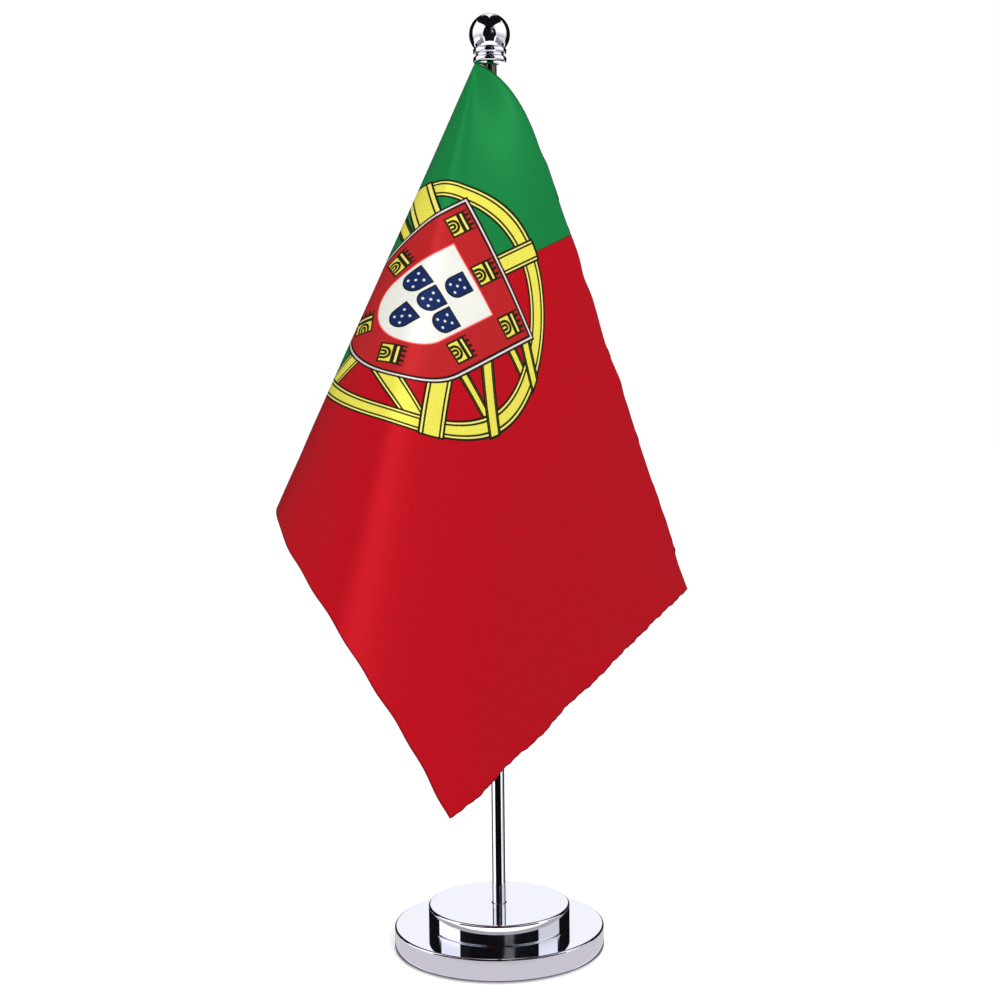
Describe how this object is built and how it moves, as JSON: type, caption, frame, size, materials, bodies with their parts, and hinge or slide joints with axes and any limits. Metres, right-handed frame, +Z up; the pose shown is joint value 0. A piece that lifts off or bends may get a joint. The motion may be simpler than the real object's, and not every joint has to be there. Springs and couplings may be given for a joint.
{
  "type": "desk flag stand",
  "caption": "Small cloth flag hanging in one deep fold from a slim chromed pole with a ball finial, on a stepped round weighted base.",
  "frame": {"origin": "centre of the base pad's flat underside, on the axis of the pole", "axes": "+Z up along the pole; -Y is the side the flag's front faces, +X is the side the flag's free top corner hangs on"},
  "size_m": [0.1409, 0.0982, 0.3156],
  "materials": {
    "chrome_plate": "mirror-bright chrome plating",
    "pole_steel": "polished tube, mirror bright along its length",
    "fastener_steel": "plain zinc-plated steel",
    "insert_brass": "turned brass",
    "pad_foam": "black closed-cell foam",
    "flag_cloth": "printed satin-twill polyester, red fly, green hoist, round heraldic device",
    "hoist_cloth": "the same cloth, its printed green hoist turned over and sewn"
  },
  "bodies": {
    "base": {"base_plate": "chrome_plate", "base_riser": "chrome_plate", "base_pad": "pad_foam", "screw_washer": "fastener_steel", "base_screw": "fastener_steel"},
    "pole": {"pole_tube": "pole_steel", "pole_foot_insert": "insert_brass", "pole_head_insert": "insert_brass"},
    "finial": {"finial_collar": "chrome_plate", "finial_ball": "chrome_plate", "finial_stud": "fastener_steel"},
    "flag": {"flag_cloth": "flag_cloth", "flag_sleeve": "hoist_cloth", "flag_tab": "hoist_cloth"}
  },
  "joints": [
    {"name": "pole_lift", "type": "slide", "parent": "base", "child": "pole", "axis": [0, 0, 1], "range_m": [0, 0.012]},
    {"name": "finial_lift", "type": "slide", "parent": "pole", "child": "finial", "axis": [0, 0, 1], "range_m": [0, 0.012]},
    {"name": "flag_swivel", "type": "hinge", "parent": "pole", "child": "flag", "pos_m": [0, 0, 0.2], "axis": [0, 0, 1], "continuous": true}
  ]
}
